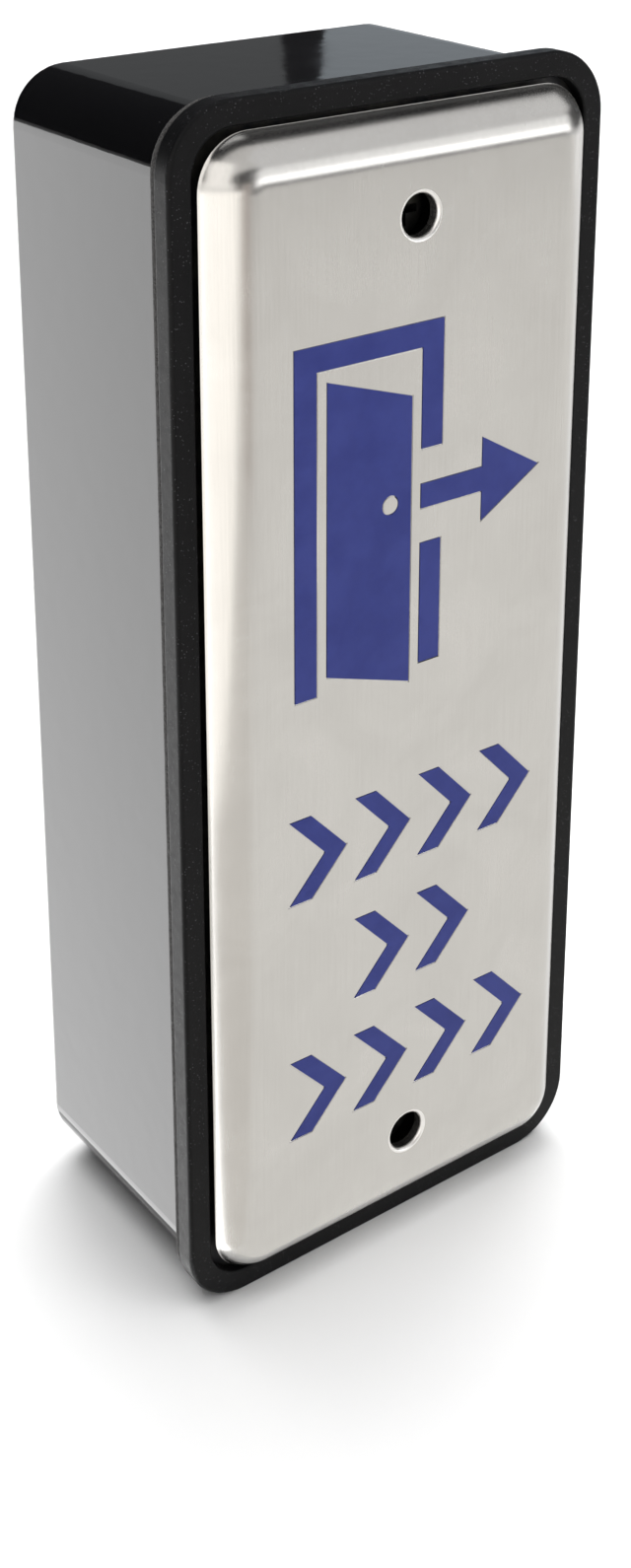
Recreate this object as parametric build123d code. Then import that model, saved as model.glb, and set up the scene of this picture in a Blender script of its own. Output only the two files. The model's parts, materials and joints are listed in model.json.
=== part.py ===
from build123d import *
import os
from math import cos, radians, sqrt, tan

# Push plate switch in a surface box, millimetres.
# The wall face is the plane y = 0 and the front looks along -Y, with +Z up and +X to the right.
# "depth" is always a distance from the wall towards the front, so depth d lies at y = -d.

# Outline of the face
bezel_width = 49.0
bezel_height = 121.0
bezel_corner = 6.4
ring_width = 2.4
opening_corner = 4.2
plate_gap = 0.4
plate_corner = 5.0

# Stack from the wall to the front
box_inset = 1.3
box_corner = 5.5
box_depth = 25.7
gasket_thick = 1.0
plate_proud = 3.0
box_wall = 2.4
box_back_edge = 0.8
box_rim_edge = 0.25

# Push plate and its travel
plate_sheet = 1.2
plate_roll = 5.0
press_travel = 1.2
stop_clearance = 0.1
access_hole_dia = 4.0
access_rim = 0.4
access_spacing = 96.6
paint_depth = 0.1
paint_margin = 0.12

# Bezel and gasket details
chassis_sheet = 1.0
rebate_clearance = 0.1
bezel_edge = 0.4
bezel_back_edge = 0.3
ring_edge = 0.25
edge_slack = 0.01
gasket_inset = 0.2
gasket_opening_clearance = 0.3
rim_inner_corner = 3.1

# Chassis
lip_depth = 4.0
lip_length = 84.0
lip_side_clearance = 1.0
lip_bend = 0.8
screw_dia = 3.0
screw_clearance = 0.2
screw_head_dia = 5.4
screw_head_height = 1.6
screw_length = 7.4
thread_fit = 0.05
recess_width = 0.8
recess_span = 3.2
recess_depth = 0.9

# Box bosses and inserts
boss_dia = 8.0
insert_dia = 4.6
insert_length = 6.0
insert_hole_extra = 2.5
rib_thick = 1.6
rib_depth = 18.0
rib_root = 1.0

# Wall holes and cable entry
wall_hole_dia = 4.5
wall_hole_spacing = 76.2
wall_pad_dia = 9.0
wall_pad_height = 0.8
cable_z = 23.0
cable_bore_dia = 6.5
grommet_neck_dia = 10.4
grommet_flange_dia = 14.0
grommet_flange_thick = 1.2
grommet_fit = 0.1

# Guides and springs
guide_x = 13.0
guide_z = 32.0
pin_dia = 3.0
running_fit = 0.05
bush_dia = 5.4
bush_hole_fit = 0.05
bush_length = 5.0
bush_flange_dia = 8.0
bush_flange_thick = 0.8
clip_dia = 7.0
clip_thick = 0.6
clip_neck_dia = 2.2
clip_gap = 1.6
pin_tail = 0.8
spring_wire = 0.45
spring_dia = 6.4
spring_turns = 2.6
seat_clearance = 0.03

# Press stud and cap
stud_dia = 3.0
stud_length = 3.2
cap_dia = 5.0
cap_top_gap = 1.3
cap_hole_clearance = 0.7
press_clearance = 0.04

# Miniature switch
switch_z = 4.5
switch_length = 20.0
switch_height = 10.0
switch_thick = 6.4
switch_wall = 0.8
switch_back_depth = 13.5
ear_width = 2.2
ear_height = 2.0
lever_pin_u = 9.0
lever_pin_rise = 1.0
lever_pin_dia = 1.0
lever_eye = 0.35
lever_sheet = 0.35
lever_angle = 6.0
lever_length = 16.0
lever_side_clearance = 0.1
button_u = 3.5
button_dia = 1.6
button_flange_dia = 2.6
button_flange_thick = 0.6
button_clearance = 0.03
fixing_pitch = 9.5
fixing_rise = 1.9
fixing_dia = 2.0
fixing_post_dia = 3.5
fixing_fit = 0.1
fixing_head_dia = 3.6
fixing_head_height = 1.3
fixing_nut_flats = 4.0
fixing_nut_height = 1.6
fixing_tail = 0.6
fixing_slot_width = 0.4
fixing_slot_depth = 0.4

# Switch contacts
tab_width = 2.4
tab_thick = 0.5
tab_length = 3.5
tab_slot_fit = 0.05
common_u = -8.1
open_u = 0.0
closed_u = 8.85
blade_axis_rise = 5.5
blade_bar_dia = 0.6
blade_sheet = 0.25
blade_width = 2.0
blade_tip_u = 7.5
blade_tip_extra = 0.6
contact_dia = 1.4
contact_rise = 0.25
contact_gap = 0.05
tongue_over = 0.9
open_drop = 0.66

# Switch bracket
bracket_sheet = 1.0
bracket_foot = 7.0
bracket_bend = 0.6

# Terminal block and leads
block_width = 16.0
block_length = 17.0
block_height = 13.0
block_z = -24.0
block_pitch = 8.0
block_edge = 0.6
entry_rise = 5.6
entry_dia = 3.4
clamp_dia = 4.4
clamp_wall = 0.8
clamp_length = 12.0
clamp_screw_dia = 2.4
clamp_screw_spacing = 7.0
clamp_screw_well = 4.0
clamp_screw_head = 3.6
clamp_screw_height = 2.0
block_screw_dia = 2.5
block_screw_head = 4.6
block_screw_well_dia = 5.0
block_screw_floor = 8.6
block_hole_floor = 0.6
block_screw_tip_gap = 0.4
block_post_dia = 7.0
block_post_height = 1.2
lead_dia = 1.3
lead_rise = 2.0
lead_bend = 2.7
lead_turn = 5.0
lead_inside = 3.2
sleeve_wall = 0.35
sleeve_overlap = 3.2
sleeve_tail = 1.5

# Plate graphics
symbol_low = 4.6
symbol_high = 38.4
symbol_left = -13.9
symbol_right = 14.9
stroke = 2.4
leaf_drop = 3.2
doorway = 12.0
leaf_gap = 1.2
leaf_width = 9.6
knob_dia = 1.9
arrow_head = 7.0
arrow_half_span = 4.2
mark_height = 8.8
mark_width = 6.6
mark_stroke = 2.5
row_pitch = 13.15
first_row_z = -11.95
row_counts = (4, 2, 4)
mark_gap = 1.1
graphic_x = 0.3

# Worked-out places
box_width = bezel_width - 2 * box_inset
box_height = bezel_height - 2 * box_inset
inner_width = box_width - 2 * box_wall
inner_height = box_height - 2 * box_wall
chassis_back = box_depth + gasket_thick
chassis_front = chassis_back + chassis_sheet
bezel_front = chassis_front + press_travel + stop_clearance
plate_front = bezel_front + plate_proud
plate_back = plate_front - plate_sheet
opening_width = bezel_width - 2 * ring_width
opening_height = bezel_height - 2 * ring_width
plate_width = opening_width - 2 * plate_gap
plate_height = opening_height - 2 * plate_gap
rebate_width = box_width
rebate_height = box_height
bush_back = chassis_front - bush_length
switch_front = switch_back_depth + switch_height
lever_pin_z = switch_z + lever_pin_u
lever_pin_depth = switch_front + lever_pin_rise
lever_width = 2 * (ear_width - lever_side_clearance)
button_z = switch_z + button_u
blade_axis_z = switch_z + common_u
blade_axis_depth = switch_back_depth + blade_axis_rise
blade_front = blade_axis_depth + blade_bar_dia / 2 + running_fit + blade_sheet
tab_end_depth = switch_back_depth - tab_length
entry_depth = box_wall + block_post_height + entry_rise
block_top = box_wall + block_post_height + block_height


def slab(width, height, near, far, x=0, z=0, corner=0):
    """A plate parallel to the wall between two depths, with rounded or square corners."""
    outline = RectangleRounded(width, height, corner) if corner else Rectangle(width, height)
    return extrude(Plane.XZ.offset(near) * Pos(x, z) * outline, far - near)


def rod(diameter, near, far, x=0, z=0):
    """A round bar square to the wall between two depths."""
    return extrude(Plane.XZ.offset(near) * Pos(x, z) * Circle(diameter / 2), far - near)


def cross_rod(diameter, left, right, depth, z):
    """A round bar along X."""
    return Pos((left + right) / 2, -depth, z) * Rot(0, 90, 0) * Cylinder(diameter / 2, right - left)


def upright_rod(diameter, low, high, x, depth):
    """A round bar along Z."""
    return Pos(x, -depth, (low + high) / 2) * Cylinder(diameter / 2, high - low)


def block(left, right, near, far, low, high):
    """A square-edged bar given by its six faces."""
    centre = Pos((left + right) / 2, -(near + far) / 2, (low + high) / 2)
    return centre * Box(right - left, far - near, high - low)


def front_edges(shape):
    """The edges of the face that lies nearest the front."""
    return shape.faces().sort_by(Axis.Y)[0].edges()


def back_edges(shape):
    """The edges of the face that lies nearest the wall."""
    return shape.faces().sort_by(Axis.Y)[-1].edges()


def guide_places():
    return [(x, z) for x in (-guide_x, guide_x) for z in (-guide_z, guide_z)]


def fixing_places():
    return [(switch_z - fixing_pitch / 2), (switch_z + fixing_pitch / 2)]


def lever_rise(z, angle=lever_angle):
    """Depth of the lever's middle plane over a height z."""
    return lever_pin_depth + (lever_pin_z - z) * tan(radians(angle))


# Plate graphics

def door_symbol():
    """A door frame with its leaf swung open and an arrow through it."""
    frame_width = doorway + 2 * stroke
    top = Pos(symbol_left + frame_width / 2, symbol_high - stroke / 2) * Rectangle(frame_width, stroke)
    left = Pos(symbol_left + stroke / 2, (symbol_low + symbol_high) / 2)
    left_jamb = left * Rectangle(stroke, symbol_high - symbol_low)
    right_x = symbol_left + frame_width - stroke / 2
    middle = (symbol_low + symbol_high) / 2
    jamb_gap = arrow_head + stroke
    jamb_length = (symbol_high - symbol_low - jamb_gap) / 2
    upper_jamb = Pos(right_x, symbol_high - jamb_length / 2) * Rectangle(stroke, jamb_length)
    lower_jamb = Pos(right_x, symbol_low + jamb_length / 2) * Rectangle(stroke, jamb_length)
    leaf_left = symbol_left + stroke + leaf_gap
    leaf_top = symbol_high - stroke - leaf_gap
    leaf_right = leaf_left + leaf_width
    leaf = make_face(Polyline(
        (leaf_left, leaf_top),
        (leaf_right, leaf_top - leaf_drop),
        (leaf_right, symbol_low - leaf_drop / 2),
        (leaf_left, symbol_low + leaf_drop / 2),
        close=True,
    ))
    knob = Pos(leaf_right - stroke, middle) * Circle(knob_dia / 2)
    shaft_left = leaf_right + stroke / 2
    neck = symbol_right - arrow_head
    shaft = Pos((shaft_left + neck) / 2, middle) * Rectangle(neck - shaft_left, stroke)
    head = make_face(Polyline(
        (neck, middle + arrow_half_span),
        (symbol_right, middle),
        (neck, middle - arrow_half_span),
        close=True,
    ))
    return [top + left_jamb + upper_jamb, lower_jamb, leaf - knob, shaft + head]


def chevron(x, z):
    """One plain arrow mark, centred on a place."""
    left = x - mark_width / 2
    tip = x + mark_width / 2
    half = mark_height / 2
    return make_face(Polyline(
        (left, z + half),
        (left + mark_stroke, z + half),
        (tip, z),
        (left + mark_stroke, z - half),
        (left, z - half),
        (tip - mark_stroke, z),
        close=True,
    ))


def legend_marks():
    """Rows of plain chevrons."""
    marks = []
    for row, count in enumerate(row_counts):
        z = first_row_z - row * row_pitch
        step = mark_width + mark_gap
        for place in range(count):
            marks.append(chevron(graphic_x + (place - (count - 1) / 2) * step, z))
    return marks


def paint_solids(outlines):
    """Thin paint fills that lie flush with the plate's front."""
    plane = Plane.XZ.offset(plate_front - paint_depth)
    return [extrude(plane * outline, paint_depth) for outline in outlines]


def paint_pockets(outlines):
    """Pockets a little wider than the paint, so that a bright metal edge shows round it."""
    plane = Plane.XZ.offset(plate_front - paint_depth)
    wide = [offset(outline, paint_margin, kind=Kind.INTERSECTION) for outline in outlines]
    return [extrude(plane * outline, paint_depth) for outline in wide]


# Plate body

def rolled_block(inset, front, roll):
    """A block with a rolled front edge. The roll runs on behind the plate's own cut edge."""
    hidden = plate_roll - sqrt(plate_roll ** 2 - (plate_roll - plate_proud) ** 2)
    grow = 2 * (hidden - inset)
    near = front - roll - plate_sheet
    corner = plate_corner + hidden - inset
    shape = slab(plate_width + grow, plate_height + grow, near, front, corner=corner)
    return fillet(front_edges(shape), roll)


def push_plate():
    outer = rolled_block(0, plate_front, plate_roll)
    hollow = rolled_block(plate_sheet, plate_back, plate_roll - plate_sheet)
    plate = outer - hollow - slab(bezel_width, bezel_height, 0, bezel_front)
    rim_cone_dia = access_hole_dia + 2 * access_rim
    for z in (-access_spacing / 2, access_spacing / 2):
        plate -= rod(access_hole_dia, plate_back, plate_front, z=z)
        middle = Pos(0, -(plate_front - access_rim / 2), z)
        plate -= middle * Rot(90, 0, 0) * Cone(access_hole_dia / 2, rim_cone_dia / 2, access_rim)
    for pocket in paint_pockets(door_symbol() + legend_marks()):
        plate -= pocket
    return [plate]


def guide_pins():
    pins = []
    for x, z in guide_places():
        clip_back = bush_back - clip_thick
        body = rod(pin_dia, bush_back, plate_back, x, z)
        neck = rod(clip_neck_dia, clip_back, bush_back, x, z)
        tail = rod(pin_dia, clip_back - pin_tail, clip_back, x, z)
        pins.append(body + neck + tail)
    return pins


def retaining_clips():
    clips = []
    for x, z in guide_places():
        disc = rod(clip_dia, bush_back - clip_thick, bush_back, x, z)
        disc -= rod(clip_neck_dia, bush_back - clip_thick, bush_back, x, z)
        mouth_low = z - clip_dia
        mouth = block(x - clip_gap / 2, x + clip_gap / 2, bush_back - clip_thick, bush_back, mouth_low, z)
        clips.append(disc - mouth)
    return clips


def return_springs():
    springs = []
    coil_radius = (spring_dia - spring_wire) / 2
    low = chassis_front + spring_wire / 2 + seat_clearance
    high = plate_back - spring_wire / 2 - seat_clearance
    height = high - low
    for x, z in guide_places():
        path = Helix(height / spring_turns, height, coil_radius)
        start = Plane(path @ 0, z_dir=path % 0)
        wire = sweep(start * Circle(spring_wire / 2), path)
        springs.append(Pos(x, -low, z) * Rot(90, 0, 0) * wire)
    return springs


def press_stud():
    return [rod(stud_dia, plate_back - stud_length, plate_back)]


def cap_tip_depth():
    """Depth of the cap's round tip, just clear of the lever's front face."""
    slope = cos(radians(lever_angle))
    tip_radius = cap_dia / 2
    lever_face = lever_rise(0) + lever_sheet / 2 / slope
    return lever_face + tip_radius * (1 / slope - 1) + press_clearance


def press_cap():
    tip_depth = cap_tip_depth()
    top_depth = plate_back - cap_top_gap
    tip_centre = tip_depth + cap_dia / 2
    body = rod(cap_dia, tip_centre, top_depth)
    tip = Pos(0, -tip_centre, 0) * Sphere(cap_dia / 2) & rod(cap_dia, tip_depth, tip_centre)
    hole = rod(stud_dia + 2 * thread_fit, plate_back - stud_length, top_depth)
    return [body + tip - hole]


# Housing

def surface_box():
    shell = slab(box_width, box_height, 0, box_depth, corner=box_corner)
    shell = fillet(back_edges(shell), box_back_edge)
    shell = chamfer(front_edges(shell), box_rim_edge)
    shell -= slab(inner_width, inner_height, box_wall, box_depth, corner=rim_inner_corner)
    for side in (-1, 1):
        z = side * access_spacing / 2
        shell += rod(boss_dia, box_wall, chassis_back, z=z)
        rib_inner = z + side * (boss_dia / 2 - rib_root)
        rib_outer = side * (inner_height / 2 + rib_root)
        rib_low, rib_high = sorted((rib_inner, rib_outer))
        shell += block(-rib_thick / 2, rib_thick / 2, box_wall - rib_root, rib_depth, rib_low, rib_high)
        shell -= rod(insert_dia, chassis_back - insert_length - insert_hole_extra, chassis_back, z=z)
        wall_z = side * wall_hole_spacing / 2
        shell += rod(wall_pad_dia, box_wall, box_wall + wall_pad_height, z=wall_z)
        shell -= rod(wall_hole_dia, 0, box_wall + wall_pad_height, z=wall_z)
    shell += rod(block_post_dia, box_wall, box_wall + block_post_height, z=block_z)
    shell -= rod(block_screw_dia + 2 * thread_fit, block_hole_floor, box_wall + block_post_height, z=block_z)
    shell -= rod(grommet_neck_dia, 0, box_wall, z=cable_z)
    shell -= rod(grommet_flange_dia + 2 * grommet_fit, 0, grommet_flange_thick, z=cable_z)
    return [shell]


def cable_grommet():
    inner_far = box_wall + grommet_flange_thick
    body = rod(grommet_flange_dia, 0, grommet_flange_thick, z=cable_z)
    body += rod(grommet_neck_dia, grommet_flange_thick, box_wall, z=cable_z)
    body += rod(grommet_flange_dia, box_wall, inner_far, z=cable_z)
    return [body - rod(cable_bore_dia, 0, inner_far, z=cable_z)]


def insert_nuts():
    nuts = []
    for z in (-access_spacing / 2, access_spacing / 2):
        body = rod(insert_dia, chassis_back - insert_length, chassis_back, z=z)
        nuts.append(body - rod(screw_dia, chassis_back - insert_length, chassis_back, z=z))
    return nuts


def box_gasket():
    sheet = slab(
        bezel_width - 2 * gasket_inset,
        bezel_height - 2 * gasket_inset,
        box_depth,
        chassis_back,
        corner=bezel_corner - gasket_inset,
    )
    clear = 2 * gasket_opening_clearance
    return [sheet - slab(
        inner_width + clear,
        inner_height + clear,
        box_depth,
        chassis_back,
        corner=rim_inner_corner + gasket_opening_clearance,
    )]


def bezel_frame():
    frame = slab(bezel_width, bezel_height, chassis_back, bezel_front, corner=bezel_corner)
    frame = fillet(front_edges(frame), bezel_edge)
    frame = fillet(back_edges(frame), bezel_back_edge)
    cut = slab(opening_width, opening_height, chassis_back, bezel_front, corner=opening_corner)
    frame -= cut
    inner = [e for e in front_edges(frame) if e.center().X ** 2 < (opening_width / 2 + edge_slack) ** 2]
    inner = [e for e in inner if e.center().Z ** 2 < (opening_height / 2 + edge_slack) ** 2]
    frame = fillet(inner, ring_edge)
    frame -= slab(
        rebate_width, rebate_height, chassis_back, chassis_front, corner=bezel_corner - box_inset
    )
    return [frame]


def chassis_plate():
    sheet = slab(
        rebate_width - 2 * rebate_clearance,
        rebate_height - 2 * rebate_clearance,
        chassis_back,
        chassis_front,
        corner=bezel_corner - box_inset - rebate_clearance,
    )
    lip_x = inner_width / 2 - lip_side_clearance
    for side in (-1, 1):
        inner_x, outer_x = side * (lip_x - chassis_sheet), side * lip_x
        left, right = sorted((inner_x, outer_x))
        lip = block(left, right, chassis_back - lip_depth, chassis_back, -lip_length / 2, lip_length / 2)
        far_edges = lip.edges().filter_by(Axis.X).group_by(Axis.Y)[-1]
        sheet += fillet(far_edges, lip_bend)
    for z in (-access_spacing / 2, access_spacing / 2):
        sheet -= rod(screw_dia + 2 * screw_clearance, chassis_back, chassis_front, z=z)
    for x, z in guide_places():
        sheet -= rod(bush_dia + 2 * bush_hole_fit, chassis_back, chassis_front, x, z)
    return [sheet - rod(cap_dia + 2 * cap_hole_clearance, chassis_back, chassis_front)]


def chassis_screws():
    screws = []
    for z in (-access_spacing / 2, access_spacing / 2):
        head_front = chassis_front + screw_head_height
        shank = rod(screw_dia - 2 * thread_fit, chassis_front - screw_length, chassis_front, z=z)
        head = rod(screw_head_dia, chassis_front, head_front, z=z)
        head = fillet(front_edges(head), screw_head_height / 2)
        slot = slab(recess_span, recess_width, head_front - recess_depth, head_front, z=z)
        slot += slab(recess_width, recess_span, head_front - recess_depth, head_front, z=z)
        screws.append(shank + head - slot)
    return screws


def guide_bushes():
    bushes = []
    for x, z in guide_places():
        body = rod(bush_dia, bush_back, chassis_front, x, z)
        body += rod(bush_flange_dia, chassis_back - bush_flange_thick, chassis_back, x, z)
        bushes.append(body - rod(pin_dia + 2 * running_fit, bush_back, chassis_front, x, z))
    return bushes


# Miniature switch

def switch_bracket():
    right = -switch_thick / 2
    left = right - bracket_sheet
    low = switch_z - switch_length / 2
    high = switch_z + switch_length / 2
    web = block(left, right, switch_back_depth, chassis_back, low, high)
    foot_near = chassis_back - bracket_sheet
    foot = block(left - bracket_foot, left, foot_near, chassis_back, low, high)
    bracket = web + foot
    outer_edge = bracket.edges().filter_by(Axis.Z).sort_by_distance((right, -chassis_back, switch_z))[0]
    bracket = fillet(outer_edge, bracket_bend)
    for z in fixing_places():
        bracket -= cross_rod(fixing_dia + 2 * fixing_fit, left, right, fixing_depth(), z)
    return [bracket]


def fixing_depth():
    return switch_back_depth + fixing_rise


def tab_slot(u):
    """The slot through the case's back wall for one contact strip."""
    half = tab_thick / 2 + tab_slot_fit
    z = switch_z + u
    side = tab_width / 2 + tab_slot_fit
    return block(-side, side, switch_back_depth, switch_back_depth + switch_wall, z - half, z + half)


def pin_ear(left, right):
    """One of the two ears that hold the lever's pin."""
    low = lever_pin_z - ear_height / 2
    high = lever_pin_z + ear_height / 2
    ear = block(left, right, switch_front, lever_pin_depth, low, high)
    return ear + cross_rod(ear_height, left, right, lever_pin_depth, lever_pin_z)


def switch_case():
    left = -switch_thick / 2
    right = switch_thick / 2 - switch_wall
    low = switch_z - switch_length / 2
    high = switch_z + switch_length / 2
    case = block(left, right, switch_back_depth, switch_front, low, high)
    case -= block(
        left + switch_wall,
        right,
        switch_back_depth + switch_wall,
        switch_front - switch_wall,
        low + switch_wall,
        high - switch_wall,
    )
    for z in fixing_places():
        case += cross_rod(fixing_post_dia, left + switch_wall, right, fixing_depth(), z)
        case -= cross_rod(fixing_dia + 2 * fixing_fit, left, right, fixing_depth(), z)
    for u in (common_u, open_u, closed_u):
        case -= tab_slot(u)
    case -= rod(button_dia + 2 * running_fit, switch_front - switch_wall, switch_front, z=button_z)
    case += pin_ear(left, -ear_width)
    return [case - cross_rod(lever_pin_dia, left, -ear_width, lever_pin_depth, lever_pin_z)]


def switch_cover():
    left = switch_thick / 2 - switch_wall
    right = switch_thick / 2
    low = switch_z - switch_length / 2
    high = switch_z + switch_length / 2
    cover = block(left, right, switch_back_depth, switch_front, low, high)
    for z in fixing_places():
        cover -= cross_rod(fixing_dia + 2 * fixing_fit, left, right, fixing_depth(), z)
    cover += pin_ear(left, right)
    return [cover - cross_rod(lever_pin_dia, left, right, lever_pin_depth, lever_pin_z)]


def lever_pin():
    return [cross_rod(lever_pin_dia, -switch_thick / 2, switch_thick / 2, lever_pin_depth, lever_pin_z)]


def switch_lever():
    eye_bore = lever_pin_dia + 2 * running_fit
    half = lever_width / 2
    eye = cross_rod(eye_bore + 2 * lever_eye, -half, half, lever_pin_depth, lever_pin_z)
    strip = Pos(0, -lever_pin_depth, lever_pin_z - lever_length / 2)
    strip *= Box(lever_width, lever_sheet, lever_length)
    hinge = Axis((0, -lever_pin_depth, lever_pin_z), (1, 0, 0))
    strip = strip.rotate(hinge, -lever_angle)
    return [eye + strip - cross_rod(eye_bore, -half, half, lever_pin_depth, lever_pin_z)]


def button_tip_depth():
    """Depth of the button's round tip, just clear of the lever's back face."""
    slope = cos(radians(lever_angle))
    lever_face = lever_rise(button_z) - lever_sheet / 2 / slope
    return lever_face - button_dia / 2 * (1 / slope - 1) - button_clearance


def switch_button():
    tip = button_tip_depth()
    foot = blade_front + button_clearance
    flange_front = switch_front - switch_wall - button_clearance
    radius = button_dia / 2
    stem = rod(button_dia, foot + radius, tip - radius, z=button_z)
    stem += Pos(0, -(foot + radius), button_z) * Sphere(radius)
    stem += Pos(0, -(tip - radius), button_z) * Sphere(radius)
    return [stem + rod(button_flange_dia, flange_front - button_flange_thick, flange_front, z=button_z)]


def tab_strip(u, far):
    """A contact strip that rises from its solder tab to a depth inside the case."""
    z = switch_z + u
    half = tab_thick / 2
    return block(-tab_width / 2, tab_width / 2, tab_end_depth, far, z - half, z + half)


def contact_common():
    half_bar = blade_width / 2 + running_fit
    bar = cross_rod(blade_bar_dia, -half_bar, half_bar, blade_axis_depth, blade_axis_z)
    return [tab_strip(common_u, blade_axis_depth) + bar]


def moving_contact():
    """The blade, rolled round the common contact's bar at one end and riveted at the other."""
    half = blade_width / 2
    eye_bore = blade_bar_dia + 2 * running_fit
    eye = cross_rod(eye_bore + 2 * blade_sheet, -half, half, blade_axis_depth, blade_axis_z)
    tip_z = switch_z + blade_tip_u
    back = blade_front - blade_sheet
    blade = eye + block(-half, half, back, blade_front, blade_axis_z, tip_z + blade_tip_extra)
    blade -= cross_rod(eye_bore, -half, half, blade_axis_depth, blade_axis_z)
    slot_half = tab_thick / 2 + 2 * running_fit
    slot_near = blade_axis_depth - eye_bore
    slot_low, slot_high = blade_axis_z - slot_half, blade_axis_z + slot_half
    blade -= block(-half, half, slot_near, blade_axis_depth, slot_low, slot_high)
    return [blade + rod(contact_dia, back - contact_rise, blade_front + contact_rise, z=tip_z)]


def contact_closed():
    """The contact that the blade rests against."""
    near = blade_front + contact_rise + contact_gap
    far = near + tab_thick
    z_strip = switch_z + closed_u
    tongue_low = switch_z + blade_tip_u - tongue_over
    half = tab_width / 2
    return [tab_strip(closed_u, far) + block(-half, half, near, far, tongue_low, z_strip)]


def contact_open():
    """The contact that the blade reaches when the plate is pressed."""
    contact_front = blade_front - blade_sheet - contact_rise - open_drop - contact_gap
    far = contact_front - contact_rise
    z_tip = switch_z + blade_tip_u
    half = tab_width / 2
    tongue = block(-half, half, far - tab_thick, far, switch_z + open_u, z_tip + tongue_over / 2)
    rivet = rod(contact_dia, far, contact_front, z=z_tip)
    return [tab_strip(open_u, far) + tongue + rivet]


def switch_screws():
    screws = []
    right = switch_thick / 2
    end = -switch_thick / 2 - bracket_sheet - fixing_nut_height - fixing_tail
    for z in fixing_places():
        shank = cross_rod(fixing_dia, end, right, fixing_depth(), z)
        head = cross_rod(fixing_head_dia, right, right + fixing_head_height, fixing_depth(), z)
        far_right = right + fixing_head_height
        low, high = z - fixing_slot_width / 2, z + fixing_slot_width / 2
        slot = block(far_right - fixing_slot_depth, far_right, 0, chassis_back, low, high)
        screws.append(shank + head - slot)
    return screws


def switch_nuts():
    nuts = []
    right = -switch_thick / 2 - bracket_sheet
    middle = right - fixing_nut_height / 2
    for z in fixing_places():
        place = Pos(middle, -fixing_depth(), z) * Rot(0, 90, 0)
        hexagon = RegularPolygon(fixing_nut_flats / 2, 6, major_radius=False)
        body = place * extrude(hexagon, fixing_nut_height / 2, both=True)
        nuts.append(body - cross_rod(fixing_dia, right - fixing_nut_height, right, fixing_depth(), z))
    return nuts


# Terminal block and leads

def pole_places():
    return (-block_pitch / 2, block_pitch / 2)


def clamp_screw_places():
    middle = block_z
    return [(x, middle + side * clamp_screw_spacing / 2) for x in pole_places() for side in (-1, 1)]


def terminal_block():
    near = box_wall + block_post_height
    low = block_z - block_length / 2
    high = block_z + block_length / 2
    body = block(-block_width / 2, block_width / 2, near, block_top, low, high)
    body = fillet(body.edges().filter_by(Axis.Y) + front_edges(body), block_edge)
    for x in pole_places():
        body -= upright_rod(clamp_dia, block_z - clamp_length / 2, block_z + clamp_length / 2, x, entry_depth)
        body -= upright_rod(entry_dia, low, high, x, entry_depth)
    for x, z in clamp_screw_places():
        body -= rod(clamp_screw_well, entry_depth, block_top, x, z)
    body -= rod(block_screw_well_dia, near + block_screw_floor, block_top, z=block_z)
    return [body - rod(block_screw_dia + 2 * thread_fit, near, block_top, z=block_z)]


def terminal_clamps():
    clamps = []
    bore = clamp_dia - 2 * clamp_wall
    for x in pole_places():
        tube = upright_rod(clamp_dia, block_z - clamp_length / 2, block_z + clamp_length / 2, x, entry_depth)
        tube -= upright_rod(bore, block_z - clamp_length / 2, block_z + clamp_length / 2, x, entry_depth)
        for side in (-1, 1):
            z = block_z + side * clamp_screw_spacing / 2
            tube -= rod(clamp_screw_dia, entry_depth, entry_depth + clamp_dia, x, z)
        clamps.append(tube)
    return clamps


def terminal_screws():
    screws = []
    lead_top = entry_depth + lead_dia / 2 + seat_clearance
    head_near = entry_depth + clamp_dia / 2 + seat_clearance
    for x, z in clamp_screw_places():
        shank = rod(clamp_screw_dia - 2 * thread_fit, lead_top, head_near, x, z)
        head = rod(clamp_screw_head, head_near, head_near + clamp_screw_height, x, z)
        front = head_near + clamp_screw_height
        slot = slab(clamp_screw_head, recess_width, front - recess_depth, front, x, z)
        screws.append(shank + head - slot)
    return screws


def block_screw():
    seat = box_wall + block_post_height + block_screw_floor
    shank = rod(block_screw_dia, block_hole_floor + block_screw_tip_gap, seat, z=block_z)
    head = rod(block_screw_head, seat, seat + clamp_screw_height, z=block_z)
    front = seat + clamp_screw_height
    return [shank + head - slab(block_screw_head, recess_width, front - recess_depth, front, z=block_z)]


def lead(u, x_end):
    """A lead from a solder tab, round to its pole of the terminal block."""
    z_tab = switch_z + u
    low_depth = box_wall + lead_rise
    z_turn = block_z + block_length / 2 + lead_turn
    z_end = block_z + block_length / 2 - lead_inside
    points = [
        (0, -tab_end_depth, z_tab),
        (0, -low_depth, z_tab),
        (x_end, -entry_depth, z_turn),
        (x_end, -entry_depth, z_end),
    ]
    path = FilletPolyline(*points, radius=lead_bend)
    start = Plane(path @ 0, z_dir=path % 0)
    return [sweep(start * Circle(lead_dia / 2), path)]


def lead_sleeves():
    """Shrink sleeves over the soldered tabs, wide over the tab and close round the lead."""
    sleeves = []
    tab_bore = (tab_width ** 2 + tab_thick ** 2) ** 0.5 + 2 * running_fit
    outer = tab_bore + 2 * sleeve_wall
    low_depth = tab_end_depth - sleeve_tail
    high_depth = tab_end_depth + sleeve_overlap
    for u in (common_u, open_u):
        z = switch_z + u
        sleeve = rod(outer, low_depth, high_depth, z=z)
        sleeve -= rod(tab_bore, tab_end_depth, high_depth, z=z)
        sleeves.append(sleeve - rod(lead_dia, low_depth, tab_end_depth, z=z))
    return sleeves


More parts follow.
